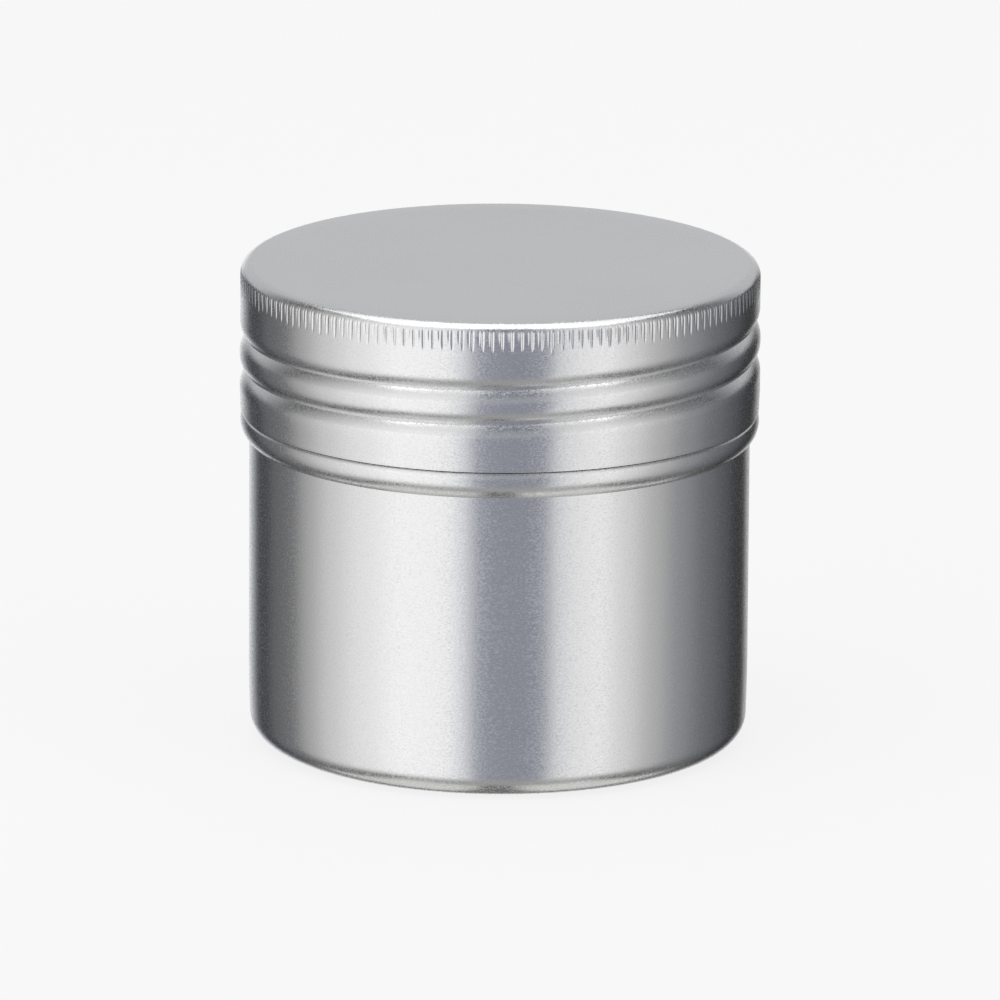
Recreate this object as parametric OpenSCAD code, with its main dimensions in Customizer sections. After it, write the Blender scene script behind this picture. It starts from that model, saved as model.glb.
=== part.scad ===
// Round screw-top tin for pouring candles: a drawn aluminium can with a stop bead, a rolled
// screw neck and a curled rim, a one-piece rolled screw lid, and a foam sealing disc.
// Millimetres, +Z up, origin at the centre of the base, front of the tin towards -Y.

/* [Tin] */
// Overall height with the lid screwed home
tin_h = 65.5; // [55:0.5:110]
// Outside diameter of the can below the stop bead
body_d = 67.4; // [60:0.1:120]
// Thickness of the aluminium sheet
wall = 0.4; // [0.3:0.05:0.6]

/* [Base] */
// Outside radius of the corner between the base and the wall
base_corner_r = 3.4; // [2:0.1:8]
// Width of the flat ring that the tin stands on
stand_w = 1.6; // [1:0.1:5]
// Height that the base panel is raised above the standing ring
base_recess = 0.8; // [0.5:0.1:2]

/* [Stop bead] */
// How far the bead stands out from the can wall
bead_out = 1.2; // [0.8:0.05:1.5]
// Height of the bead from its lower crease to its top
bead_h = 3.5; // [3.2:0.1:6]
// Height over which the bead's underside rolls in to the wall
bead_roll_h = 2.3; // [1.8:0.1:2.5]
// Radius of the bead's upper edge
bead_edge_r = 0.6; // [0.5:0.05:1]

/* [Screw thread] */
// Rise of the single-start thread in one turn
thread_pitch = 4.7; // [4:0.1:6]
// Depth of the groove rolled into the lid
thread_depth = 0.9; // [0.6:0.05:1.1]
// Radial clearance between the lid and the neck
thread_clear = 0.3; // [0.2:0.05:0.5]
// Height of the lid's lower groove above the lid's edge, at the front
groove_up = 6.7; // [6:0.1:12]
// Turns of the groove in the lid
groove_turns = 1.8; // [1.2:0.1:2]
// Turns of the thread on the neck
neck_turns = 1.35; // [1:0.05:1.6]

/* [Lid] */
// Height of the lid
lid_h = 20.1; // [18:0.1:30]
// Outside radius of the lid's shoulder
shoulder_r = 1.55; // [1:0.05:3]
// Gap between the lid's edge and the stop bead
part_gap = 0.1; // [0.1:0.05:0.5]

/* [Neck rim] */
// Outside radius of the section of the curled rim
curl_r = 0.75; // [0.6:0.05:1]

/* [Liner] */
// Thickness of the foam sealing disc
liner_t = 1.2; // [0.8:0.1:2]
// Gap above and below the foam disc
liner_gap = 0.1; // [0.05:0.05:0.2]

/* [Hidden] */
$fn = 120;

body_r = body_d / 2;
bead_r = body_r + bead_out;
// The lid's wall stands a little proud of the bead under it.
lid_proud = 0.1;
lid_r = bead_r + lid_proud;
lid_inner_r = lid_r - wall;
// The neck between the threads clears the lid's inward ridges.
neck_r = lid_inner_r - thread_depth - thread_clear;
crest_r = lid_inner_r - thread_clear;

lid_z = tin_h - lid_h;
bead_top = lid_z - part_gap;
bead_z = bead_top - bead_h;
liner_top = tin_h - wall - liner_gap;
liner_z = liner_top - liner_t;
liner_r = lid_r - shoulder_r;
liner_edge_r = 0.3;
rim_top = liner_z - liner_gap;

// The rim's roll is flush with the neck, and the drawn-in wall runs up into its middle.
curl_c = [neck_r - curl_r, rim_top - curl_r];
mouth_r = curl_c[0] + wall / 2;
// The neck's wall passes this far through the sheet on top of the bead.
neck_root = 0.2;
// The lid's flat disc overlaps the inner edge of the shoulder by this much.
disc_lap = 0.4;

// Angles along the helix are counted in degrees from the front, rising to the right.
front = 90;
groove_z = lid_z + groove_up;
groove_from = -150;
groove_to = groove_from + 360 * groove_turns;
crest_from = -195;
crest_to = crest_from + 360 * neck_turns;
// Each end of a thread fades out over this angle.
run_out = 40;
// Half the height of one groove, which leaves a narrow land between two turns.
groove_half = 0.45 * thread_pitch;
crest_half = 0.5 * thread_pitch;

// The threaded walls are meshes of this many sides, with rows about this far apart.
sides = 60;
row_step = 0.55;
groove_zone = [helix_z(groove_from) - groove_half, helix_z(groove_to) + groove_half];
crest_zone = [crest_z(crest_from) - crest_half, crest_z(crest_to) + crest_half];
draw_in_top = (crest_zone[1] + curl_c[1]) / 2;

function helix_z(turn_angle) = groove_z + thread_pitch * turn_angle / 360;
function crest_z(turn_angle) = helix_z(turn_angle) + thread_pitch / 2;
function ease(t) = let (u = max(0, min(1, t))) u * u * (3 - 2 * u);

// How much of its full depth a thread has at an angle along it, from one end to the other.
function fade(turn_angle, from, to) =
    ease((turn_angle - from) / run_out) * ease((to - turn_angle) / run_out);

// Angles along the helix that lie above one bearing round the tin.
function passes(bearing) = [for (k = [-1:1]) bearing + front + 360 * k];

// Depth of the lid's groove: convex lands that meet in a crease.
function groove_at(bearing, z) = max([
    for (t = passes(bearing))
        let (off = abs(z - helix_z(t)) / groove_half)
        thread_depth * fade(t, groove_from, groove_to) * pow(max(0, 1 - off), 2)
]);

// Height of the neck's thread: a round bead halfway between the lid's creases.
function crest_at(bearing, z) = max([
    for (t = passes(bearing))
        let (off = abs(z - crest_z(t)) / crest_half)
        (crest_r - neck_r) * fade(t, crest_from, crest_to) * max(0, 1 - off * off)
]);

function arc(c, r, from, to, steps = 12) = [
    for (i = [0:steps])
        let (a = from + (to - from) * i / steps)
        [c[0] + r * cos(a), c[1] + r * sin(a)]
];

// Half outline of the can up to the top of its bead, as a filled shape, drawn in by the sheet
// thickness for the inside.
function can_outline(inset) =
    let (
        corner = [body_r - base_corner_r, base_corner_r],
        stand_in = corner[0] - stand_w,
        roll_r = (bead_out * bead_out + bead_roll_h * bead_roll_h) / (2 * bead_out),
        roll_c = [bead_r - roll_r, bead_z + bead_roll_h],
        roll_a = asin(bead_roll_h / roll_r),
        edge_c = [bead_r - bead_edge_r, bead_top - bead_edge_r]
    )
    concat(
        [
            [0, base_recess + inset],
            [stand_in - base_recess, base_recess + inset],
            [stand_in, inset]
        ],
        arc(corner, base_corner_r - inset, -90, 0),
        [[body_r - inset, bead_z + inset * tan(roll_a / 2)]],
        arc(roll_c, roll_r - inset, -roll_a, 0),
        arc(edge_c, bead_edge_r - inset, 0, 90, 6),
        [[0, bead_top - inset]]
    );

// Rows of a sheet wall, as [outside radius, height, direction that its outside faces].
function wall_rows(r, zone) =
    let (steps = ceil((zone[1] - zone[0]) / row_step))
    [for (i = [0:steps]) [r, zone[0] + (zone[1] - zone[0]) * i / steps, 0]];

function neck_rows() = concat(
    [[neck_r, bead_top - wall - neck_root, 0]],
    wall_rows(neck_r, crest_zone),
    [[mouth_r, draw_in_top, 0], [mouth_r, curl_c[1], 0]]
);

function lid_rows() =
    let (
        shoulder_c = [lid_r - shoulder_r, tin_h - shoulder_r],
        steps = 6
    )
    concat(
        [[lid_r, lid_z, 0]],
        wall_rows(lid_r, groove_zone),
        [
            for (i = [0:steps])
                let (a = 90 * i / steps)
                [shoulder_c[0] + shoulder_r * cos(a), shoulder_c[1] + shoulder_r * sin(a), a]
        ],
        [[shoulder_c[0] - 2 * disc_lap, tin_h, 90]]
    );

// A round sheet wall through the given rows, whose outside is moved out by bulge(bearing, z).
module sheet_wall(rows, bulge) {
    last = len(rows) - 1;
    points = [
        for (inset = [0, wall], row = rows, j = [0:sides - 1])
            let (
                bearing = 360 * j / sides,
                r = row[0] - inset * cos(row[2]) + bulge(bearing, row[1])
            )
            [r * cos(bearing), r * sin(bearing), row[1] - inset * sin(row[2])]
    ];
    function at(side, i, j) = (side * (last + 1) + i) * sides + j % sides;
    skin = [
        for (side = [0, 1], i = [0:last - 1], j = [0:sides - 1])
            let (q = [at(side, i, j), at(side, i + 1, j), at(side, i + 1, j + 1), at(side, i, j + 1)])
            side == 0 ? q : [q[3], q[2], q[1], q[0]]
    ];
    ends = [
        for (i = [0, last], j = [0:sides - 1])
            let (q = [at(0, i, j), at(0, i, j + 1), at(1, i, j + 1), at(1, i, j)])
            i == 0 ? q : [q[3], q[2], q[1], q[0]]
    ];
    triangles = [
        for (q = concat(skin, ends)) each [[q[0], q[1], q[2]], [q[0], q[2], q[3]]]
    ];
    polyhedron(points, triangles);
}

// The can, drawn from one sheet: base, wall, stop bead, rolled neck and curled rim.
module tin_body() {
    color("silver") {
        difference() {
            rotate_extrude() polygon(can_outline(0));
            rotate_extrude() polygon(can_outline(wall));
            translate([0, 0, bead_top - 2 * wall]) cylinder(r = neck_r - wall / 2, h = 3 * wall);
        }
        sheet_wall(neck_rows(), function (bearing, z) crest_at(bearing, z));
        rotate_extrude() translate(curl_c) circle(r = curl_r);
    }
}

// The lid, pressed from one sheet: a flat top and shoulder, and a skirt with the thread rolled in.
module screw_lid() {
    color("lightgray") {
        sheet_wall(lid_rows(), function (bearing, z) -groove_at(bearing, z));
        translate([0, 0, tin_h - wall]) cylinder(r = lid_r - shoulder_r - disc_lap, h = wall);
    }
}

// The foam disc that lies loose in the lid and seals on the rim.
module lid_liner() {
    color("whitesmoke") rotate_extrude() polygon(concat(
        [[0, liner_z]],
        arc([liner_r - liner_edge_r, liner_z + liner_edge_r], liner_edge_r, -90, 0, 4),
        arc([liner_r - liner_edge_r, liner_top - liner_edge_r], liner_edge_r, 0, 90, 4),
        [[0, liner_top]]
    ));
}

tin_body();
screw_lid();
lid_liner();
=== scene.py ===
"""Looks of a round screw-top candle tin in satin aluminium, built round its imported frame.

The tin is three pieces: the can, the lid and the foam disc that lies in the lid. Each is one
closed shell, made of rows of points round the tin's axis. Sizes are in millimetres until a
shell becomes a mesh, and the overall ones come from the frame.
"""

from __future__ import annotations

import logging
import math
from dataclasses import dataclass
from enum import Enum
from typing import Any, Callable, Sequence

import bpy
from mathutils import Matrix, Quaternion, Vector


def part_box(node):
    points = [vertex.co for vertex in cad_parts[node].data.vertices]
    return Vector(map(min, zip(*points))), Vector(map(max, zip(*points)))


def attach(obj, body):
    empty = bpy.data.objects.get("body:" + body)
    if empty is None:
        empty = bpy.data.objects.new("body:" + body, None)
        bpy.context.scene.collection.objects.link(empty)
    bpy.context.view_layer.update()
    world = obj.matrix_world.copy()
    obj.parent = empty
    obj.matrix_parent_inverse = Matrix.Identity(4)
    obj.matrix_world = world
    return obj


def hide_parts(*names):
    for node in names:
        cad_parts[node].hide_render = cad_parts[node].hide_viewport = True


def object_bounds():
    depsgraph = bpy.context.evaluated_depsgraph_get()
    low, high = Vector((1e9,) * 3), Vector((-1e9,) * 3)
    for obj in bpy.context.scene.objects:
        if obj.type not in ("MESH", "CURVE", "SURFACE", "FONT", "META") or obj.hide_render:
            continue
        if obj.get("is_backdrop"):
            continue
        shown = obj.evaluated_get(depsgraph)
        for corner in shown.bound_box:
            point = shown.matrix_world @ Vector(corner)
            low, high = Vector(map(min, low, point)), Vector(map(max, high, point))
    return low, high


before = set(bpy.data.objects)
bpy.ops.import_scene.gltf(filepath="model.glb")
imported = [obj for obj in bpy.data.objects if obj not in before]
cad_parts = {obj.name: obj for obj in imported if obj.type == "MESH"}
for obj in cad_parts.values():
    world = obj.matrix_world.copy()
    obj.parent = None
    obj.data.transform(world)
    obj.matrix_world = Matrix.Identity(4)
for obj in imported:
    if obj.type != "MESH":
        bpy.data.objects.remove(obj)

LOG = logging.getLogger("candle_tin")
MM = 0.001
KNURL_BAND = "knurl_band"
SHARP_EDGE = math.radians(38)
# Whole turns of a threaded wall, and the gap kept between neighbouring rows in millimetres.
WALL_TURNS = 2
ROW_GAP = 0.05

Spot = tuple[float, float]
Limits = tuple[float, float]
Colour = tuple[float, float, float]
RadiusAt = Callable[[float, float], float]
Socket = bpy.types.NodeSocket


def ease(share: float) -> float:
    """Returns a share from 0 to 1, slowed down at both ends."""
    held = max(0.0, min(1.0, share))
    return held * held * (3 - 2 * held)


def arc(centre: Spot, radius: float, start: float, end: float, steps: int) -> list[Spot]:
    """Returns points along an arc of a section.

    Args:
        centre: Radius and height of the arc's centre.
        radius: Radius of the arc itself.
        start: Angle of the first point in degrees, 0 outwards and 90 upwards.
        end: Angle of the last point.
        steps: How many straight steps the arc takes.

    Returns:
        The points as (radius, height), both ends included.
    """
    angles = [math.radians(start + (end - start) * i / steps) for i in range(steps + 1)]
    return [(centre[0] + radius * math.cos(a), centre[1] + radius * math.sin(a)) for a in angles]


def spaced(start: Spot, end: Spot, steps: int) -> list[Spot]:
    """Returns evenly spaced points from just after start up to end."""
    return [
        (start[0] + (end[0] - start[0]) * i / steps, start[1] + (end[1] - start[1]) * i / steps)
        for i in range(1, steps + 1)
    ]


class Shell:
    """A closed surface laid row by row round the tin's axis, in millimetres.

    A turn angle is counted in degrees from the front of the tin and rises to the right, and
    each row starts at the back, at -180. Rows follow the section up the outside and down the
    inside, so that every face looks out of the metal.
    """

    def __init__(self) -> None:
        """Starts with no points and no faces."""
        self.points: list[tuple[float, float, float]] = []
        self.faces: list[tuple[int, ...]] = []

    def point(self, turn: float, radius: float, height: float) -> int:
        """Adds one point and returns its number."""
        bearing = math.radians(turn - 90)
        self.points.append((radius * math.cos(bearing), radius * math.sin(bearing), height))
        return len(self.points) - 1

    def pole(self, height: float) -> list[int]:
        """Adds a row that is one point on the axis."""
        return [self.point(0, 0, height)]

    def ring(self, spot: Spot, sides: int) -> list[int]:
        """Adds a flat round row."""
        return [self.point(-180 + 360 * i / sides, *spot) for i in range(sides)]

    def bridge(self, lower: Sequence[int], upper: Sequence[int]) -> None:
        """Joins two neighbouring rows with faces.

        Args:
            lower: The row that comes first along the section.
            upper: The row after it, which may have another number of points.
        """
        n, m = len(lower), len(upper)
        if n == m:
            for i in range(n):
                j = (i + 1) % n
                self.faces.append((lower[i], lower[j], upper[j], upper[i]))
            return
        i, j = (n if n == 1 else 0), (m if m == 1 else 0)
        while i < n or j < m:
            here, there = lower[i % n], upper[j % m]
            if j == m or (i < n and (i + 0.5) / n < (j + 0.5) / m):
                self.faces.append((here, lower[(i + 1) % n], there))
                i += 1
            else:
                self.faces.append((here, upper[(j + 1) % m], there))
                j += 1

    def rings(self, start: Sequence[int], section: Sequence[Spot], sides: int) -> list[int]:
        """Carries the shell on from a row through a section of round rows.

        Args:
            start: The row that the section carries on from.
            section: Radius and height of each new row.
            sides: Points in each new row.

        Returns:
            The last row.
        """
        row = list(start)
        for spot in section:
            following = self.ring(spot, sides)
            self.bridge(row, following)
            row = following
        return row

    def climbing_wall(
        self, sides: int, foot: float, rises: Sequence[float], radius_at: RadiusAt, inner: bool
    ) -> tuple[list[int], list[int]]:
        """Adds a wall whose rows climb with a thread, so that a crease lies along one row.

        The rows take WALL_TURNS turns. A row ends one pitch above its start, where it meets the
        row of the turn above. Between these rows and the flat rows at the wall's foot and top,
        wedges of rows fan out from the seam at the back.

        Args:
            sides: Points in one turn.
            foot: Height of the flat row at the foot.
            rises: Height of each row of one turn above the turn's first row, then the pitch.
            radius_at: Gives the wall's radius at a turn angle and a height.
            inner: Whether the faces look in towards the axis.

        Returns:
            The flat row at the foot and the one at the top.
        """
        rows, pitch = len(rises) - 1, rises[-1]
        last = rows * WALL_TURNS
        climb = [foot + rises[k % rows] + pitch * (k // rows) for k in range(last + rows + 1)]
        top = climb[-1]
        columns: list[list[int]] = []
        for c in range(sides):
            share = c / sides
            heights = [foot + (h - foot) * share for h in climb[:rows]]
            heights += [h + pitch * share for h in climb[: last + 1]]
            heights += [top - (top - h) * (1 - share) for h in climb[last + 1 :]]
            turn = -180 + 360 * share
            skipped = rows if c == 0 else 0
            column = [self.point(turn, radius_at(turn, h), h) for h in heights[skipped:]]
            columns.append([column[0]] * skipped + column)
        seam = columns[0]
        columns.append([seam[min(k + rows, len(seam) - 1)] for k in range(len(seam))])
        for left, right in zip(columns, columns[1:]):
            for k in range(len(seam) - 1):
                corners = list(dict.fromkeys((left[k], right[k], right[k + 1], left[k + 1])))
                if len(corners) > 2:
                    self.faces.append(tuple(reversed(corners) if inner else corners))
        return [column[0] for column in columns[:-1]], [column[-1] for column in columns[:-1]]

    def mesh(self, name: str) -> bpy.types.Mesh:
        """Returns the shell as a mesh in metres, smooth but for its sharp edges."""
        mesh = bpy.data.meshes.new(name)
        mesh.from_pydata([tuple(x * MM for x in p) for p in self.points], [], self.faces)
        mesh.polygons.foreach_set("use_smooth", [True] * len(mesh.polygons))
        mesh.set_sharp_from_angle(angle=SHARP_EDGE)
        mesh.validate()
        return mesh


class Section(Enum):
    """How a thread is shaped across its own line."""

    CREASE = "two round lands that meet in a crease"
    BEAD = "one round bead"


@dataclass(frozen=True)
class Thread:
    """A single-start right-hand thread rolled into a sheet wall.

    Attributes:
        section: Its shape across its own line.
        front: Height of its line at the front of the tin.
        pitch: Rise in one turn.
        turns: Turn angles at which it fades in and has faded out.
        half: Half its width.
        depth: Its full depth.
        run_out: Angle over which each end fades.
    """

    section: Section
    front: float
    pitch: float
    turns: Limits
    half: float
    depth: float
    run_out: float = 40

    def height(self, turn: float) -> float:
        """Returns the height of the thread's line at a turn angle."""
        return self.front + self.pitch * turn / 360

    def relief(self, turn: float, height: float) -> float:
        """Returns how far the thread moves the wall at a turn angle and a height."""
        found, (start, end) = 0.0, self.turns
        for angle in (turn - 360, turn, turn + 360):
            fade = ease((angle - start) / self.run_out) * ease((end - angle) / self.run_out)
            off = abs(height - self.height(angle)) / self.half
            if off < 1:
                across = (1 - off) ** 2 if self.section is Section.CREASE else 1 - off * off
                found = max(found, self.depth * fade * across)
        return found


class Nodes:
    """Adds nodes to a tree and wires them, so that a formula stays short."""

    def __init__(self, tree: bpy.types.NodeTree) -> None:
        """Takes the tree that the nodes go into."""
        self.tree = tree

    def add(
        self, kind: str, inputs: dict[str | int, Any] | None = None, **settings: Any
    ) -> bpy.types.Node:
        """Adds one node.

        Args:
            kind: The node's type name.
            inputs: A value or an output socket for each input, by its name or number.
            settings: The node's own properties.

        Returns:
            The new node.
        """
        node = self.tree.nodes.new(kind)
        for name, value in settings.items():
            setattr(node, name, value)
        for key, value in (inputs or {}).items():
            if isinstance(value, Socket):
                self.tree.links.new(value, node.inputs[key])
            else:
                node.inputs[key].default_value = value
        return node

    def math(self, operation: str, *values: Any, clamp: bool = False) -> Socket:
        """Adds a Math node on the given numbers or sockets and returns its output."""
        return self.add(
            "ShaderNodeMath", dict(enumerate(values)), operation=operation, use_clamp=clamp
        ).outputs[0]

    def times(self, one: Any, other: Any) -> Socket:
        """Returns the product of two numbers or sockets."""
        return self.math("MULTIPLY", one, other)

    def minus(self, one: Any, other: Any) -> Socket:
        """Returns one number or socket less another."""
        return self.math("SUBTRACT", one, other)

    def scaled(self, vector: Any, factor: Any) -> Socket:
        """Returns a vector or a colour times a number."""
        sizes = {0: vector, "Scale": factor}
        return self.add("ShaderNodeVectorMath", sizes, operation="SCALE").outputs[0]

    def blend(self, share: Any, none: Any, full: Any) -> Socket:
        """Returns a colour that goes from none to full as share goes from 0 to 1."""
        return self.add("ShaderNodeMix", {0: share, 6: none, 7: full}, data_type="RGBA").outputs[2]

    def ramp(self, value: Any, low: Any, high: Any) -> Socket:
        """Returns an output that eases from 0 to 1 as value goes from low to high."""
        edges = {"Value": value, "From Min": low, "From Max": high}
        node = self.add("ShaderNodeMapRange", edges, interpolation_type="SMOOTHSTEP")
        return node.outputs["Result"]

    def even(self, value: Any, low: float, high: float, none: float, full: float) -> Socket:
        """Returns an output that goes evenly from none to full as value goes from low to high."""
        edges = {"From Min": low, "From Max": high, "To Min": none, "To Max": full}
        return self.add("ShaderNodeMapRange", {"Value": value} | edges).outputs["Result"]

    def noise(self, place: Any, scale: float, detail: float, rough: float = 0.5) -> Socket:
        """Returns the output of a noise texture."""
        inputs = {"Vector": place, "Scale": scale, "Detail": detail, "Roughness": rough}
        return self.add("ShaderNodeTexNoise", inputs).outputs["Fac"]


def blank_nodes(holder: bpy.types.Material | bpy.types.World) -> Nodes:
    """Empties the node tree of a material or a world, and returns a builder for it."""
    holder.use_nodes = True
    holder.node_tree.nodes.clear()
    return Nodes(holder.node_tree)


@dataclass(frozen=True)
class SatinAluminium:
    """Satin aluminium sheet with a fine grain and lines that run round the tin.

    Attributes:
        name: The material's name.
        colour: Colour of the bare metal.
        roughness: Mean roughness.
        anisotropy: How much wider a reflection is across the lines than along them.
        scatter: How much rougher some grains are than others.
        line_depth: Depth of the lines, in metres.
        line_size: Lines in a metre, along each axis.
        line_rough: How much rougher some lines are than others.
        grain_depth: Depth of the grain, in metres.
        grain_size: Grains in a metre, upwards.
        grain_flat: Grains in a metre across, as a share of those upwards.
        wear_size: Worn places in a metre.
        wear: How much rougher or smoother they are.
        dull: Brightness of the dullest lines, as a share of the metal's.
    """

    name: str
    colour: Colour = (0.87, 0.87, 0.87)
    roughness: float = 0.24
    anisotropy: float = 0.45
    scatter: float = 0.75
    line_depth: float = 0.000002
    line_size: tuple[float, float, float] = (45, 45, 5200)
    line_rough: float = 0.06
    grain_depth: float = 0.000007
    grain_size: float = 5200
    grain_flat: float = 0.55
    wear_size: float = 55
    wear: float = 0.01
    dull: float = 0.98

    def make(self) -> bpy.types.Material:
        """Returns the material."""
        material = bpy.data.materials.new(self.name)
        n = blank_nodes(material)
        place = n.add("ShaderNodeTexCoord").outputs["Object"]
        squeezed = n.add("ShaderNodeMapping", {"Vector": place, "Scale": self.line_size}).outputs[0]
        lines = n.noise(squeezed, 1.0, 3.0, 0.6)
        across = self.grain_flat * self.grain_size
        spread = (across, across, self.grain_size)
        flattened = n.add("ShaderNodeMapping", {"Vector": place, "Scale": spread}).outputs[0]
        grain = n.noise(flattened, 1.0, 2.0, 0.55)
        cloud = n.noise(place, self.wear_size, 3.0)
        worn = n.even(cloud, 0.3, 0.7, self.roughness - self.wear, self.roughness + self.wear)
        lined = n.math("ADD", worn, n.times(n.minus(lines, 0.5), self.line_rough))
        rough = n.math("ADD", lined, n.times(n.minus(grain, 0.5), self.scatter))
        dulled = (*(self.dull * c for c in self.colour), 1)
        shade = n.blend(n.even(lines, 0.25, 0.75, 0.0, 1.0), dulled, (*self.colour, 1))
        relief = {"Height": lines, "Strength": 1.0, "Distance": self.line_depth}
        turned = n.add("ShaderNodeBump", relief)
        relief = {"Height": grain, "Strength": 1.0, "Distance": self.grain_depth}
        grained = n.add("ShaderNodeBump", relief | {"Normal": turned.outputs[0]})
        round_axis = n.add("ShaderNodeTangent", direction_type="RADIAL", axis="Z").outputs[0]
        look = {"Base Color": shade, "Metallic": 1.0, "Roughness": rough, "Tangent": round_axis}
        look |= {"Anisotropic": self.anisotropy, "Anisotropic Rotation": 0.25}
        metal = n.add("ShaderNodeBsdfPrincipled", look | {"Normal": grained.outputs[0]})
        n.add("ShaderNodeOutputMaterial", {"Surface": metal.outputs[0]})
        return material


@dataclass(frozen=True)
class FoamFinish:
    """White closed-cell foam with a soft skin.

    Attributes:
        name: The material's name.
        colour: Colour of the foam.
        cell_size: Cells in a metre.
        cell_depth: Depth of the cells, in metres.
        cloud_size: Duller places in a metre.
        dull: Brightness of the dullest places, as a share of the foam's.
    """

    name: str = "liner_foam"
    colour: Colour = (0.84, 0.84, 0.82)
    cell_size: float = 1400
    cell_depth: float = 0.00006
    cloud_size: float = 120
    dull: float = 0.93

    def make(self) -> bpy.types.Material:
        """Returns the material."""
        material = bpy.data.materials.new(self.name)
        n = blank_nodes(material)
        place = n.add("ShaderNodeTexCoord").outputs["Object"]
        cells = n.add("ShaderNodeTexVoronoi", {"Vector": place, "Scale": self.cell_size})
        cloud = n.noise(place, self.cloud_size, 4.0)
        dulled = (*(self.dull * c for c in self.colour), 1)
        relief = {"Height": cells.outputs["Distance"], "Strength": 0.6, "Distance": self.cell_depth}
        skin = n.add("ShaderNodeBump", relief)
        look = {"Base Color": n.blend(cloud, dulled, (*self.colour, 1)), "Roughness": 0.62}
        look |= {"Subsurface Weight": 0.15, "Subsurface Scale": 0.001, "Sheen Weight": 0.15}
        foam = n.add("ShaderNodeBsdfPrincipled", look | {"Normal": skin.outputs[0]})
        n.add("ShaderNodeOutputMaterial", {"Surface": foam.outputs[0]})
        return material


def show(name: str, mesh: bpy.types.Mesh) -> bpy.types.Object:
    """Puts a mesh in the scene at the origin and returns its object."""
    piece = bpy.data.objects.new(name, mesh)
    bpy.context.scene.collection.objects.link(piece)
    return piece


def dress(piece: bpy.types.Object, body: str, node: str) -> None:
    """Ties a finished piece to the frame.

    Args:
        piece: The finished piece.
        body: Body that it moves with.
        node: Node that it stands for.
    """
    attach(piece, body)
    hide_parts(node)
    LOG.info("%s: %d faces, rides on %s", piece.name, len(piece.data.polygons), body)


@dataclass(frozen=True)
class Span:
    """Overall size of one node of the frame, in millimetres.

    Attributes:
        radius: Its outside radius.
        low: Height of its lowest point.
        high: Height of its highest point.
    """

    radius: float
    low: float
    high: float

    @classmethod
    def of_node(cls, node: str) -> Span:
        """Returns the size of a node at rest."""
        low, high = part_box(node)
        return cls((high.x - low.x) / 2 / MM, low.z / MM, high.z / MM)


@dataclass(frozen=True)
class Sheet:
    """Sizes that the can and the lid share, in millimetres.

    Attributes:
        wall: Thickness of the sheet.
        pitch: Rise of the thread in one turn.
        groove_up: Height of the lid's groove above the lid's edge, at the front.
        land: Heights of the rows of one land above its crease, as shares of half a pitch.
    """

    wall: float = 0.4
    pitch: float = 4.7
    groove_up: float = 6.5
    land: tuple[float, ...] = (0.012, 0.035, 0.075, 0.14, 0.23, 0.35, 0.5, 0.66, 0.83)

    def rises(self, keep: int = 1) -> list[float]:
        """Returns the rows of one turn, which lie closest where the crease is.

        Args:
            keep: Every how many rows of a land one is kept.

        Returns:
            Height of each row above a line half a pitch below the crease, up to the pitch.
        """
        half, up = self.pitch / 2, self.land[::keep]
        below = [half * (1 - u) for u in reversed(up)]
        return [0.0, *below, half, *(half * (1 + u) for u in up), self.pitch]


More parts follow.
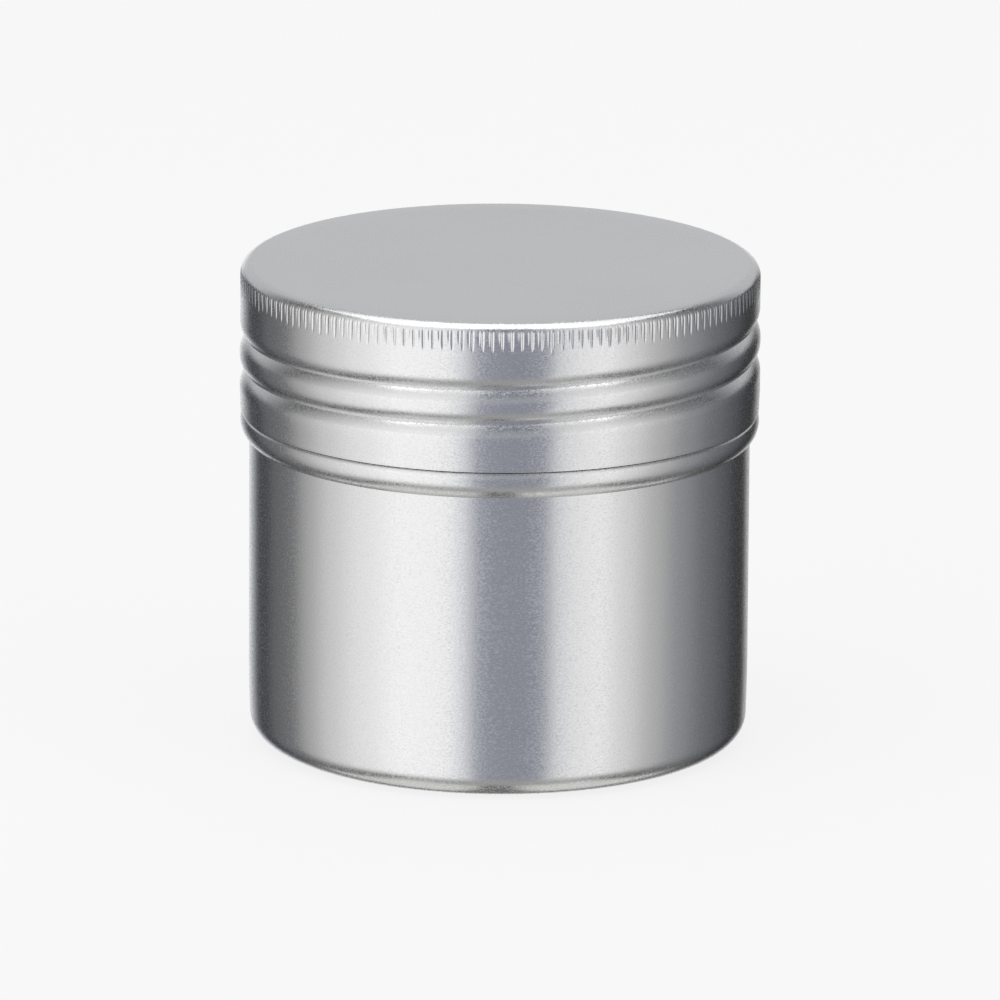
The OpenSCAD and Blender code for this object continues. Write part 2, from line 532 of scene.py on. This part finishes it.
@dataclass(frozen=True)
class Knurl:
    """Strokes pressed into the lid's shoulder, in millimetres and shares of a period.

    Attributes:
        count: Strokes in one turn.
        deep: Depth of the long strokes.
        shallow: Depth of the short strokes beside them.
        foot: Distance of the long strokes' feet below the top of the lid.
        short_foot: The same for the short strokes.
        head: Distance of the strokes' heads below the top of the lid.
        half: Half the width of a long stroke.
        short_half: Half the width of a short stroke.
        short_off: How far the short stroke lies from the long one.
        foot_stray: How far the strokes' feet stray up and down.
        foot_fade: Height over which a stroke deepens from its foot.
        head_fade: Height over which a stroke ends at its head.
        point_h: Height of the pointed part above a foot.
        point: Width at the foot, as a share of the full width.
        drift: How far the strokes stray round the lid.
        scatter: How much the strokes differ from each other.
        seed: Seed of those differences.
    """

    count: int = 165
    deep: float = 0.08
    shallow: float = 0.055
    foot: float = 3.75
    short_foot: float = 2.65
    head: float = 0.85
    half: float = 0.14
    short_half: float = 0.11
    short_off: float = -0.36
    foot_stray: float = 1.2
    foot_fade: float = 0.5
    head_fade: float = 0.3
    point_h: float = 1.4
    point: float = 0.45
    drift: float = 0.12
    scatter: float = 0.35
    seed: int = 7

    def inputs(self, top: float) -> dict[str, float]:
        """Returns the tree's named inputs, with heights worked out from the lid's top."""
        return {
            "Count": float(self.count),
            "Deep": self.deep * MM,
            "Shallow": self.shallow * MM,
            "Foot": (top - self.foot) * MM,
            "Short Foot": (top - self.short_foot) * MM,
            "Head": (top - self.head) * MM,
            "Half": self.half,
            "Short Half": self.short_half,
            "Short Off": self.short_off,
            "Scatter": self.scatter,
        }

    def tree(self, top: float) -> bpy.types.NodeTree:
        """Returns the Geometry Nodes tree that presses the strokes into a marked band."""
        tree = bpy.data.node_groups.new("shoulder_knurl", "GeometryNodeTree")
        tree.interface.new_socket("Geometry", in_out="OUTPUT", socket_type="NodeSocketGeometry")
        tree.interface.new_socket("Geometry", in_out="INPUT", socket_type="NodeSocketGeometry")
        for name in self.inputs(top):
            tree.interface.new_socket(name, in_out="INPUT", socket_type="NodeSocketFloat")
        tree.interface.new_socket("Seed", in_out="INPUT", socket_type="NodeSocketInt")
        tree.interface.new_socket("Material", in_out="INPUT", socket_type="NodeSocketMaterial")
        n = Nodes(tree)
        given = n.add("NodeGroupInput").outputs
        place = n.add("GeometryNodeInputPosition").outputs[0]
        at = n.add("ShaderNodeSeparateXYZ", {0: place}).outputs
        turns = n.times(n.math("ARCTAN2", at["Y"], at["X"]), 1 / math.tau)
        strokes = n.times(turns, given["Count"])
        cell = n.math("ROUND", strokes)
        across = n.minus(strokes, cell)

        def stray(offset: int) -> Socket:
            """Returns a number round 0 that differs from stroke to stroke."""
            seed = n.math("ADD", given["Seed"], offset)
            dice = n.add("FunctionNodeRandomValue", {"ID": cell, "Seed": seed}, data_type="FLOAT")
            return n.times(n.minus(dice.outputs[1], 0.5), given["Scatter"])

        def varied(value: Any, offset: int) -> Socket:
            """Returns a value that differs a little from stroke to stroke."""
            return n.times(value, n.math("ADD", stray(offset), 1.0))

        def stroke(foot: str, half: str, off: Any, depth: str, offset: int) -> Socket:
            """Returns the depth of one kind of stroke, pointed at its foot."""
            low = n.minus(given[foot], n.times(stray(offset), self.foot_stray * MM))
            rise = n.minus(at["Z"], low)
            pointed = n.ramp(rise, 0.0, self.point_h * MM)
            width = n.math("MULTIPLY_ADD", pointed, 1 - self.point, self.point)
            reach = varied(n.times(given[half], width), offset + 1)
            side = n.math("DIVIDE", n.minus(across, off), reach)
            bowl = n.math("SUBTRACT", 1.0, n.times(side, side), clamp=True)
            full = n.minus(given["Head"], self.head_fade * MM)
            ends = n.times(n.ramp(rise, 0.0, self.foot_fade * MM), n.ramp(at["Z"], given["Head"], full))
            return n.times(bowl, n.times(varied(given[depth], offset + 2), ends))

        drift = n.times(stray(1), self.drift)
        beside = n.math("ADD", given["Short Off"], drift)
        long_strokes = stroke("Foot", "Half", drift, "Deep", 11)
        short_strokes = stroke("Short Foot", "Short Half", beside, "Shallow", 21)
        band = n.add("GeometryNodeInputNamedAttribute", {"Name": KNURL_BAND}, data_type="FLOAT")
        depth = n.times(n.math("MAXIMUM", long_strokes, short_strokes), band.outputs[0])
        push = n.scaled(n.add("GeometryNodeInputNormal").outputs[0], n.times(depth, -1.0))
        pressed = n.add("GeometryNodeSetPosition", {"Geometry": given["Geometry"], "Offset": push})
        real = n.add("GeometryNodeRealizeInstances", {"Geometry": pressed.outputs[0]})
        dressed = {"Geometry": real.outputs[0], "Material": given["Material"]}
        painted = n.add("GeometryNodeSetMaterial", dressed)
        n.add("NodeGroupOutput", {"Geometry": painted.outputs[0]})
        return tree

    def press(self, piece: bpy.types.Object, top: float, finish: bpy.types.Material) -> None:
        """Presses the strokes into a piece and leaves it a plain mesh.

        Args:
            piece: The piece, with its band marked.
            top: Height of the lid's top.
            finish: Material of the pressed sheet.
        """
        tree = self.tree(top)
        modifier = piece.modifiers.new("knurl", "NODES")
        modifier.node_group = tree
        values = {**self.inputs(top), "Seed": self.seed, "Material": finish}
        for item in tree.interface.items_tree:
            if item.in_out == "INPUT" and item.name in values:
                modifier[item.identifier] = values[item.name]
        bpy.context.view_layer.update()
        graph = bpy.context.evaluated_depsgraph_get()
        plain = bpy.data.meshes.new_from_object(piece.evaluated_get(graph))
        piece.modifiers.clear()
        piece.data = plain
        plain.attributes.remove(plain.attributes[KNURL_BAND])


@dataclass(frozen=True)
class Lid:
    """The screw lid: a flat top, a knurled shoulder and a skirt with the thread rolled in.

    Attributes:
        span: The lid's overall size.
        sheet: Sizes shared with the can.
        knurl: The strokes on the shoulder.
        shoulder: Outside radius of the shoulder.
        depth: Depth of the groove.
        groove: Turn angles at which the groove fades in and has faded out.
        groove_half: Half the groove's width, as a share of the pitch.
        upper_in: How far the wall above the groove stands back from the land between its turns.
        upper_fade: Share of the pitch over which it does so.
        edge_in: How far the skirt's edge stands back from it.
        edge_fade: Share of the pitch over which it does so.
        cut: Radius that the cut edge is rounded to.
        knurl_turn: How far round the shoulder's arc the knurled band goes, in degrees.
        sides: Points in one turn of the skirt.
        knurl_sides: Points in one turn of the knurled band.
    """

    span: Span
    sheet: Sheet
    knurl: Knurl = Knurl()
    shoulder: float = 1.55
    depth: float = 0.9
    groove: Limits = (-150, 498)
    groove_half: float = 0.45
    upper_in: float = 0.08
    upper_fade: float = 0.3
    edge_in: float = 0.12
    edge_fade: float = 0.75
    cut: float = 0.06
    knurl_turn: float = 48
    sides: int = 330
    knurl_sides: int = 2640

    @property
    def thread(self) -> Thread:
        """The groove rolled into the skirt."""
        front, pitch = self.span.low + self.sheet.groove_up, self.sheet.pitch
        return Thread(Section.CREASE, front, pitch, self.groove, self.groove_half * pitch, self.depth)

    @property
    def wall_foot(self) -> float:
        """Height at which the climbing rows start: half a pitch below the crease at the back."""
        return self.thread.height(-180) - self.sheet.pitch / 2

    def radius_at(self, turn: float, height: float) -> float:
        """Returns the outside radius of the skirt at a turn angle and a height."""
        thread, pitch = self.thread, self.sheet.pitch
        last = thread.turns[1] - thread.run_out
        upper = thread.height(turn + 360 if turn + 360 < last else turn)
        stand_back = self.upper_in * ease((height - upper) / (self.upper_fade * pitch))
        stand_back += self.edge_in * (1 - ease((height - self.span.low) / (self.edge_fade * pitch)))
        return self.span.radius - stand_back - thread.relief(turn, height)

    def shell(self) -> tuple[Shell, range]:
        """Returns the lid's shell and the points of its knurled band."""
        shell, wall = Shell(), self.sheet.wall
        top, low = self.span.high, self.span.low
        outside = self.span.radius - self.upper_in
        edge_out = self.span.radius - self.edge_in
        turn_c = (outside - self.shoulder, top - self.shoulder)

        radii = (8, 20, 30)
        row = shell.rings(shell.pole(top - wall), [(r, top - wall) for r in radii], self.sides // 2)
        row = shell.rings(row, arc(turn_c, self.shoulder - wall, 90, 0, 6), self.sides // 2)
        lower, upper = shell.climbing_wall(
            self.sides // 2, self.wall_foot, self.sheet.rises(2),
            lambda turn, z: self.radius_at(turn, z) - wall, inner=True,
        )
        shell.bridge(row, upper)
        edge = arc((edge_out - wall + self.cut, low + self.cut), self.cut, 180, 270, 3)
        edge += arc((edge_out - self.cut, low + self.cut), self.cut, -90, 0, 3)
        rise = spaced(edge[-1], (edge_out, self.wall_foot), 4)[:-1]
        row = shell.rings(lower, [*edge, *((self.radius_at(-180, z), z) for _, z in rise)], self.sides)
        lower, upper = shell.climbing_wall(
            self.sides, self.wall_foot, self.sheet.rises(), self.radius_at, inner=False
        )
        shell.bridge(row, lower)

        first = len(shell.points)
        foot = top - self.knurl.foot - ROW_GAP
        shares = (0, 0.06, 0.14, 0.25, 0.4, 0.6, 0.8)
        steps = [(outside, foot + (turn_c[1] - foot) * s) for s in shares]
        band = [*steps, *arc(turn_c, self.shoulder, 0, self.knurl_turn, 8)]
        row = shell.rings(upper, band, self.knurl_sides)
        marked = range(first, len(shell.points))
        row = shell.rings(row, arc(turn_c, self.shoulder, self.knurl_turn + 5, 90, 6), self.sides)
        row = shell.rings(row, [(r, top) for r in reversed(radii)], self.sides // 2)
        shell.bridge(row, shell.pole(top))
        return shell, marked

    def build(self) -> bpy.types.Object:
        """Makes the lid, presses its knurl and dresses it."""
        shell, marked = self.shell()
        mesh = shell.mesh("lid_shell")
        weights = [float(i in marked) for i in range(len(mesh.vertices))]
        mesh.attributes.new(KNURL_BAND, "FLOAT", "POINT").data.foreach_set("value", weights)
        lid = show("lid_shell", mesh)
        self.knurl.press(lid, self.span.high, SatinAluminium("skirt_aluminium").make())
        self.finish_top(lid.data)
        dress(lid, "lid", "screw_lid")
        return lid

    def finish_top(self, mesh: bpy.types.Mesh) -> None:
        """Gives the flat top its own finish, which has no lines round the axis."""
        plain = {"anisotropy": 0.0, "line_depth": 0.0, "grain_depth": 0.000004}
        top_finish = SatinAluminium("top_aluminium", roughness=0.3, scatter=0.15, **plain)
        mesh.materials.append(top_finish.make())
        flat = (self.span.radius - self.shoulder + 0.02) * MM
        for face in mesh.polygons:
            level = abs(face.normal.z) > 0.999
            if level and max(math.hypot(*mesh.vertices[v].co[:2]) for v in face.vertices) < flat:
                face.material_index = len(mesh.materials) - 1


@dataclass(frozen=True)
class Can:
    """The can: a recessed base, a straight wall, a stop bead, a threaded neck and a curled rim.

    Attributes:
        span: The can's overall size, whose radius is that of the stop bead.
        lid: The lid, which the neck and the bead are made to fit.
        sheet: Sizes shared with the lid.
        bead_out: How far the bead stands out from the wall.
        bead_h: Height of the bead.
        bead_roll: Height over which the bead's underside rolls in to the wall.
        bead_lean: How far the upper part of the bead leans in, in degrees.
        part_gap: Gap between the lid's edge and the bead.
        corner: Outside radius of the corner between base and wall.
        taper: How much the wall draws in towards the base.
        taper_h: Height over which it draws in.
        stand: Width of the ring that the can stands on.
        recess: How far the base panel is raised.
        clearance: Gap between the lid's wall and the neck's thread.
        crest: Turn angles at which the neck's thread fades in and has faded out.
        root: Radius of the turn between the bead's top and the neck.
        curl: Outside radius of the curled rim's section.
        sides: Points in one turn.
    """

    span: Span
    lid: Lid
    sheet: Sheet
    bead_out: float = 1.2
    bead_h: float = 3.7
    bead_roll: float = 2.45
    bead_lean: float = 15
    part_gap: float = 0.06
    corner: float = 3.4
    taper: float = 0.28
    taper_h: float = 12.0
    stand: float = 1.6
    recess: float = 0.8
    clearance: float = 0.3
    crest: Limits = (-195, 291)
    root: float = 0.2
    curl: float = 0.75
    sides: int = 288

    @property
    def body(self) -> float:
        """Outside radius of the straight wall."""
        return self.span.radius - self.bead_out

    @property
    def bead_under(self) -> tuple[Spot, float, float]:
        """Centre, radius and steepest angle of the arc that rolls in under the bead."""
        out, tall = self.bead_out, self.bead_roll
        radius = (out * out + tall * tall) / (2 * out)
        centre = (self.span.radius - radius, self.bead_top - self.bead_h + tall)
        return centre, radius, math.degrees(math.asin(tall / radius))

    @property
    def bead_over(self) -> tuple[Spot, float]:
        """Centre and radius of the arc that rounds the bead's upper edge."""
        centre, radius, _ = self.bead_under
        lean = math.radians(self.bead_lean)
        rounding = (self.bead_top - centre[1] - radius * math.sin(lean)) / (1 - math.sin(lean))
        reach = radius - rounding
        return (centre[0] + reach * math.cos(lean), centre[1] + reach * math.sin(lean)), rounding

    @property
    def bead_top(self) -> float:
        """Height of the top of the stop bead."""
        return self.lid.span.low - self.part_gap

    @property
    def neck(self) -> float:
        """Outside radius of the neck between its threads."""
        return self.lid.span.radius - self.sheet.wall - self.lid.depth - self.clearance

    @property
    def thread(self) -> Thread:
        """The bead that stands out of the neck, halfway between the lid's creases."""
        pitch, groove = self.sheet.pitch, self.lid.thread
        rise = self.lid.span.radius - self.sheet.wall - self.clearance - self.neck
        return Thread(Section.BEAD, groove.front + pitch / 2, pitch, self.crest, pitch / 2, rise)

    def drawn_in(self, section: Sequence[Spot]) -> list[Spot]:
        """Returns a section of the wall, drawn in towards the base."""
        return [(r - self.taper * (1 - min(1.0, z / self.taper_h)) ** 2, z) for r, z in section]

    def outer(self) -> list[Spot]:
        """Returns the outside section from the base panel's rim to the foot of the neck."""
        body, top, low = self.body, self.bead_top, self.bead_top - self.bead_h
        corner_c = (body - self.corner, self.corner)
        stand_in = corner_c[0] - self.stand
        panel = arc((stand_in - self.recess, 0.0), self.recess, 90, 0, 5)
        turn = arc(corner_c, self.corner, -90, 0, 12)
        bend = (body, self.taper_h)
        wall = spaced(turn[-1], bend, 6) + spaced(bend, (body, low - ROW_GAP), 6)
        roll_c, radius, steep = self.bead_under
        roll = arc(roll_c, radius, -steep, self.bead_lean, 22)
        edge_c, rounding = self.bead_over
        edge = arc(edge_c, rounding, self.bead_lean, 90, 8)[1:]
        root = arc((self.neck + self.root, top + self.root), self.root, 270, 180, 3)
        return [*panel, *self.drawn_in(turn + wall), *roll, *edge, *root]

    def rim(self, top_row: float) -> list[Spot]:
        """Returns the section from the neck's top, round the curl, to the inside of the neck.

        Args:
            top_row: Height of the last climbing row of the neck.

        Returns:
            The points, which end inside at the same height.
        """
        wall, roll = self.sheet.wall, self.curl
        centre = (self.neck - roll, self.span.high - roll)
        hollow = roll - wall
        step_in = centre[0] - hollow - self.neck
        rise = centre[1] - roll - ROW_GAP - top_row
        shares = (0.2, 0.4, 0.6, 0.8, 1.0)
        sway = [(self.neck + step_in * ease(s), top_row + rise * s) for s in shares]
        inside = arc(centre, hollow, 180, -50, 12)
        outside = arc(centre, roll, -50, 180, 20)
        back = [(r - wall, z) for r, z in reversed(sway)]
        return [*sway, *inside, *outside, *back, (self.neck - wall, top_row)]

    def inner(self) -> list[Spot]:
        """Returns the inside section from the foot of the neck to the floor."""
        wall, body = self.sheet.wall, self.body
        top, low = self.bead_top, self.bead_top - self.bead_h
        root = arc((self.neck + self.root, top + self.root), self.root + wall, 180, 270, 3)
        edge_c, rounding = self.bead_over
        edge = arc(edge_c, rounding - wall, 90, self.bead_lean, 4)
        roll_c, radius, steep = self.bead_under
        roll = arc(roll_c, radius - wall, self.bead_lean, -steep, 10)[1:]
        corner_c = (body - self.corner, self.corner)
        turn = arc(corner_c, self.corner - wall, 0, -90, 10)
        side = spaced((body - wall, low + wall), turn[0], 6)
        floor = arc((corner_c[0] - self.stand - self.recess, wall), self.recess, 0, 90, 5)
        return [*root, *edge, *roll, *self.drawn_in(side + turn), *floor]

    def build(self) -> bpy.types.Object:
        """Makes the can and dresses it."""
        shell, wall, thread = Shell(), self.sheet.wall, self.thread
        radii = (8, 20)
        row = shell.rings(shell.pole(self.recess), [(r, self.recess) for r in radii], self.sides)
        row = shell.rings(row, self.outer(), self.sides)
        lower, upper = shell.climbing_wall(
            self.sides, self.lid.wall_foot, self.sheet.rises(2),
            lambda turn, z: self.neck + thread.relief(turn, z), inner=False,
        )
        shell.bridge(row, lower)
        row = shell.rings(upper, self.rim(shell.points[upper[0]][2]), self.sides)
        lower, upper = shell.climbing_wall(
            self.sides // 2, self.lid.wall_foot, self.sheet.rises(3),
            lambda turn, z: self.neck - wall + thread.relief(turn, z), inner=True,
        )
        shell.bridge(row, upper)
        row = shell.rings(lower, self.inner(), self.sides)
        inside = self.recess + wall
        row = shell.rings(row, [(r, inside) for r in reversed(radii)], self.sides)
        shell.bridge(row, shell.pole(inside))
        can = show("can_shell", shell.mesh("can_shell"))
        can.data.materials.append(SatinAluminium("can_aluminium").make())
        dress(can, "can", "tin_body")
        return can


@dataclass(frozen=True)
class FoamDisc:
    """The foam disc that lies in the lid and seals on the rim.

    Attributes:
        span: The disc's overall size.
        edge: Radius of its rounded edge.
        seat: Radius of the line that the rim has pressed into it.
        seat_half: Half the width of that line.
        seat_depth: Depth of that line.
        sides: Points in one turn.
    """

    span: Span
    edge: float = 0.3
    seat: float = 32.65
    seat_half: float = 0.6
    seat_depth: float = 0.12
    sides: int = 180

    def build(self) -> bpy.types.Object:
        """Makes the disc and dresses it."""
        shell, span = Shell(), self.span
        inset = span.radius - self.edge
        marks = (-1.0, -0.6, -0.3, 0.0, 0.3, 0.6, 1.0)
        heights = [span.low + self.seat_depth * (1 - m * m) ** 2 for m in marks]
        print_line = [(self.seat + self.seat_half * m, z) for m, z in zip(marks, heights)]
        radii = (10, 22)
        row = shell.rings(shell.pole(span.low), [(r, span.low) for r in radii], self.sides)
        row = shell.rings(row, [s for s in print_line if s[0] < inset], self.sides)
        row = shell.rings(row, arc((inset, span.low + self.edge), self.edge, -90, 0, 4), self.sides)
        row = shell.rings(row, arc((inset, span.high - self.edge), self.edge, 0, 90, 4), self.sides)
        row = shell.rings(row, [(r, span.high) for r in reversed(radii)], self.sides)
        shell.bridge(row, shell.pole(span.high))
        disc = show("foam_disc", shell.mesh("foam_disc"))
        disc.data.materials.append(FoamFinish().make())
        dress(disc, "liner", "lid_liner")
        return disc


@dataclass(frozen=True)
class Stop:
    """Brightness of the studio at one bearing.

    Attributes:
        bearing: Degrees from the front, rising to the right.
        level: Brightness, where 1 is white.
        warmth: How much redder than blue the light is.
    """

    bearing: float
    level: float
    warmth: float = 0.0

    @property
    def colour(self) -> tuple[float, float, float, float]:
        """The stop's colour."""
        red, blue = 1 + 0.4 * self.warmth, 1 - 1.2 * self.warmth
        return (self.level * red, self.level, self.level * blue, 1.0)


@dataclass(frozen=True)
class Studio:
    """Plain soft studio: walls brighter and darker all round, a softbox above, a pale floor.

    Attributes:
        stops: Brightness round the tin at its own height.
        wall_top: Share of that brightness left high on the walls.
        back: Look of the upper part of the back wall.
        front_glow: Extra brightness of the band in front of the tin and above it.
        low: Look of what lies below, in two lanes beside the tin.
        low_front: Share of that brightness that lies ahead of the tin.
        low_side: Share of it left everywhere else.
        overhead: Width and depth of the overhead softbox, in metres.
        overhead_at: Place of its middle.
        overhead_level: Its brightness.
        floor_size: Side of the floor, in metres.
        floor_drop: Depth of the floor below the tin, in metres.
        floor_grey: Brightness of the floor, where 1 is white.
        floor_glow: Share of the floor's look that doesn't take the shadow.
    """

    stops: tuple[Stop, ...] = (
        Stop(-180, 1.1), Stop(-168, 0.9), Stop(-157, 0.44, -0.06), Stop(-148, 0.06, -0.08),
        Stop(-136, 0.06, -0.08), Stop(-126, 0.135, -0.05), Stop(-112, 0.16, -0.03),
        Stop(-98, 0.42), Stop(-84, 0.66), Stop(-66, 0.87), Stop(-46, 1.05), Stop(-24, 1.02),
        Stop(-17, 0.84, -0.03), Stop(-9, 0.31, -0.14), Stop(0, 0.285, -0.14),
        Stop(12, 0.275, -0.14), Stop(20, 0.29, -0.14), Stop(27, 0.77, -0.02), Stop(36, 0.87),
        Stop(48, 0.95), Stop(60, 0.74), Stop(76, 0.48), Stop(92, 0.28, -0.04),
        Stop(112, 0.155, -0.06), Stop(128, 0.095, -0.08), Stop(140, 0.045, -0.06),
        Stop(153, 0.03), Stop(165, 0.5), Stop(180, 1.1),
    )
    wall_top: float = 0.8
    back: Stop = Stop(180, 0.52, -0.025)
    front_glow: float = 0.12
    low: Stop = Stop(0, 0.7, 0.01)
    low_front: float = 0.5
    low_side: float = 0.2
    overhead: tuple[float, float] = (1.5, 1.0)
    overhead_at: tuple[float, float, float] = (0.0, 0.05, 1.0)
    overhead_level: float = 1.05
    floor_size: float = 8.0
    floor_drop: float = 0.00005
    floor_grey: float = 0.9
    floor_glow: float = 0.8

    def ring(self, n: Nodes, way: Any) -> Socket:
        """Returns the colour of the walls round the tin, from the stops."""
        bearing = n.math("ARCTAN2", way["X"], n.times(way["Y"], -1.0))
        walls = n.add("ShaderNodeValToRGB", {0: n.math("MULTIPLY_ADD", bearing, 1 / math.tau, 0.5)})
        walls.color_ramp.interpolation = "EASE"
        elements = walls.color_ramp.elements
        elements.remove(elements[1])
        elements[0].color = self.stops[0].colour
        for stop in self.stops[1:]:
            elements.new((stop.bearing + 180) / 360).color = stop.colour
        return walls.outputs[0]

    def above(self, n: Nodes, way: Any) -> Socket:
        """Returns the colour of the walls with the back wall and the band in front laid on."""
        lower_wall = n.ramp(way["Z"], 0.28, 0.12)
        kept = n.math("MULTIPLY_ADD", lower_wall, 1 - self.wall_top, self.wall_top)
        fading = n.scaled(self.ring(n, way), kept)
        behind = n.times(n.ramp(way["Y"], 0.3, 0.8), n.ramp(way["Z"], -0.02, 0.18))
        upper = n.blend(behind, fading, self.back.colour)
        band = n.times(n.ramp(way["Z"], -0.02, 0.2), n.ramp(way["Z"], 0.7, 0.4))
        glow = n.times(n.times(band, n.ramp(way["Y"], 0.1, -0.5)), self.front_glow)
        return n.add("ShaderNodeVectorMath", {0: upper, 1: glow}, operation="ADD").outputs[0]

    def ground(self, n: Nodes, way: Any) -> Socket:
        """Returns the colour of what lies below: a patch ahead and two lanes beside the tin."""
        aside = n.math("ABSOLUTE", way["X"])
        ahead = n.times(n.ramp(way["Y"], -0.25, -0.45), self.low_front)
        lanes = n.times(n.ramp(aside, 0.04, 0.12), n.ramp(way["Y"], -0.45, -0.2))
        near = n.times(n.ramp(aside, 0.62, 0.44), n.ramp(way["Y"], 0.6, 0.4))
        patch = n.times(n.math("ADD", ahead, lanes), near)
        return n.scaled(self.low.colour[:3], n.math("MAXIMUM", patch, self.low_side))

    def world(self) -> None:
        """Lights the scene with the studio's walls, and shows them white behind the tin.

        The limits of each ramp are parts of the unit direction from the tin.
        """
        world = bpy.data.worlds.new("studio_walls")
        bpy.context.scene.world = world
        n = blank_nodes(world)
        place = n.add("ShaderNodeTexCoord").outputs["Generated"]
        way = n.add("ShaderNodeSeparateXYZ", {0: place}).outputs
        below = n.ramp(way["Z"], -0.5, -0.82)
        full = n.blend(below, self.above(n, way), self.ground(n, way))
        lit = n.add("ShaderNodeBackground", {"Color": full, "Strength": 1.0})
        white = n.add("ShaderNodeBackground", {"Color": (1, 1, 1, 1), "Strength": 1.0})
        seen = n.add("ShaderNodeLightPath").outputs["Is Camera Ray"]
        both = n.add("ShaderNodeMixShader", {0: seen, 1: lit.outputs[0], 2: white.outputs[0]})
        n.add("ShaderNodeOutputWorld", {"Surface": both.outputs[0]})

    def softbox(self) -> None:
        """Hangs the overhead softbox."""
        width, depth = self.overhead
        light = bpy.data.lights.new("overhead_softbox", "AREA")
        light.shape = "RECTANGLE"
        light.size, light.size_y = width, depth
        light.energy = self.overhead_level * math.pi * width * depth
        lamp = bpy.data.objects.new("overhead_softbox", light)
        lamp.location = self.overhead_at
        bpy.context.scene.collection.objects.link(lamp)

    def floor(self) -> None:
        """Lays the pale floor, which keeps the tin's soft shadow."""
        half = self.floor_size / 2
        mesh = bpy.data.meshes.new("floor")
        corners = [(-half, -half), (half, -half), (half, half), (-half, half)]
        mesh.from_pydata([(x, y, -self.floor_drop) for x, y in corners], [], [(0, 1, 2, 3)])
        material = bpy.data.materials.new("pale_floor")
        n = blank_nodes(material)
        matt = n.add("ShaderNodeBsdfDiffuse", {"Color": (*[self.floor_grey] * 3, 1)})
        glow = n.add("ShaderNodeEmission", {"Color": (1, 1, 1, 1), "Strength": 1.0})
        seen = n.times(n.add("ShaderNodeLightPath").outputs["Is Camera Ray"], self.floor_glow)
        both = n.add("ShaderNodeMixShader", {0: seen, 1: matt.outputs[0], 2: glow.outputs[0]})
        n.add("ShaderNodeOutputMaterial", {"Surface": both.outputs[0]})
        mesh.materials.append(material)
        floor = show("floor", mesh)
        floor.visible_glossy = False
        floor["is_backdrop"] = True

    def build(self) -> None:
        """Sets up the walls, the softbox and the floor."""
        self.world()
        self.softbox()
        self.floor()
        bpy.context.scene.view_settings.view_transform = "Standard"


@dataclass(frozen=True)
class Viewpoint:
    """The camera, a long lens a little above the tin.

    Attributes:
        target: Height that it looks at, as a share of the tin's height.
        distance: Distance from there, in metres.
        elevation: Height above the horizon, in degrees.
        lens: Focal length on a 36 mm sensor.
        roll: How far it leans, in degrees.
        shift: Sideways shift of the frame, as a share of its width.
    """

    target: float = 0.496
    distance: float = 1.814
    elevation: float = 14.85
    lens: float = 484.4
    roll: float = 0.36
    shift: float = 0.0009

    def build(self, height: float) -> None:
        """Makes the camera for a tin of the given height in metres."""
        data = bpy.data.cameras.new("view")
        data.lens, data.sensor_width, data.shift_x = self.lens, 36.0, self.shift
        data.clip_start, data.clip_end = 0.05, 30.0
        camera = bpy.data.objects.new("view", data)
        up = math.radians(self.elevation)
        back = Vector((0.0, -math.cos(up), math.sin(up)))
        camera.location = Vector((0.0, 0.0, self.target * height)) + back * self.distance
        camera.rotation_mode = "QUATERNION"
        lean = Quaternion((0.0, 0.0, 1.0), math.radians(self.roll))
        camera.rotation_quaternion = (-back).to_track_quat("-Z", "Y") @ lean
        bpy.context.scene.collection.objects.link(camera)
        bpy.context.scene.camera = camera


def corners() -> list[list[float]]:
    """Returns the lowest and highest corner of what shows, as plain lists."""
    return [list(corner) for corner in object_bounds()]


def main() -> None:
    """Builds the tin's pieces in order, then the studio and the camera."""
    logging.basicConfig(level=logging.INFO, format="%(name)s: %(message)s")
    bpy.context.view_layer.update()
    sheet = Sheet()
    lid = Lid(Span.of_node("screw_lid"), sheet)
    Can(Span.of_node("tin_body"), lid, sheet).build()
    lid.build()
    FoamDisc(Span.of_node("lid_liner")).build()
    Studio().build()
    Viewpoint().build(lid.span.high * MM)


if __name__ == "__main__":
    main()
